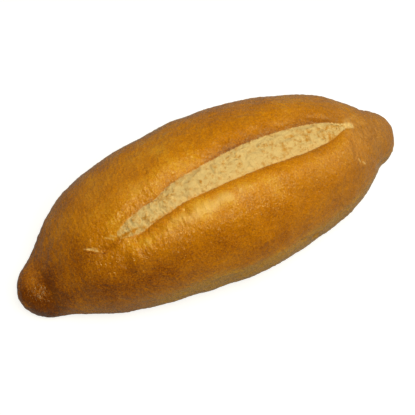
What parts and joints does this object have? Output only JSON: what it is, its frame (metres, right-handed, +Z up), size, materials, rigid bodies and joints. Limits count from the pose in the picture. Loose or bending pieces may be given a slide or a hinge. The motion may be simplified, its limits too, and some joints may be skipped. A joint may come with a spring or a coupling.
{
  "type": "bolillo bread roll",
  "caption": "Spindle-shaped crusty white bread roll with a small knob at each end and a long pale split along its crest, resting on a flat base.",
  "frame": {"origin": "centre of the bounding box's bottom face, under the middle of the roll, on the surface it rests on", "axes": "+X along the roll, from the darker knob to the knob by the split's blunt tip; +Z up; +Y across"},
  "size_m": [0.155, 0.064, 0.0471],
  "materials": {
    "baked_crust": "golden-brown baked crust with a soft sheen; pale matte dough in the split"
  },
  "bodies": {
    "root": {"bolillo": "baked_crust"}
  },
  "joints": []
}
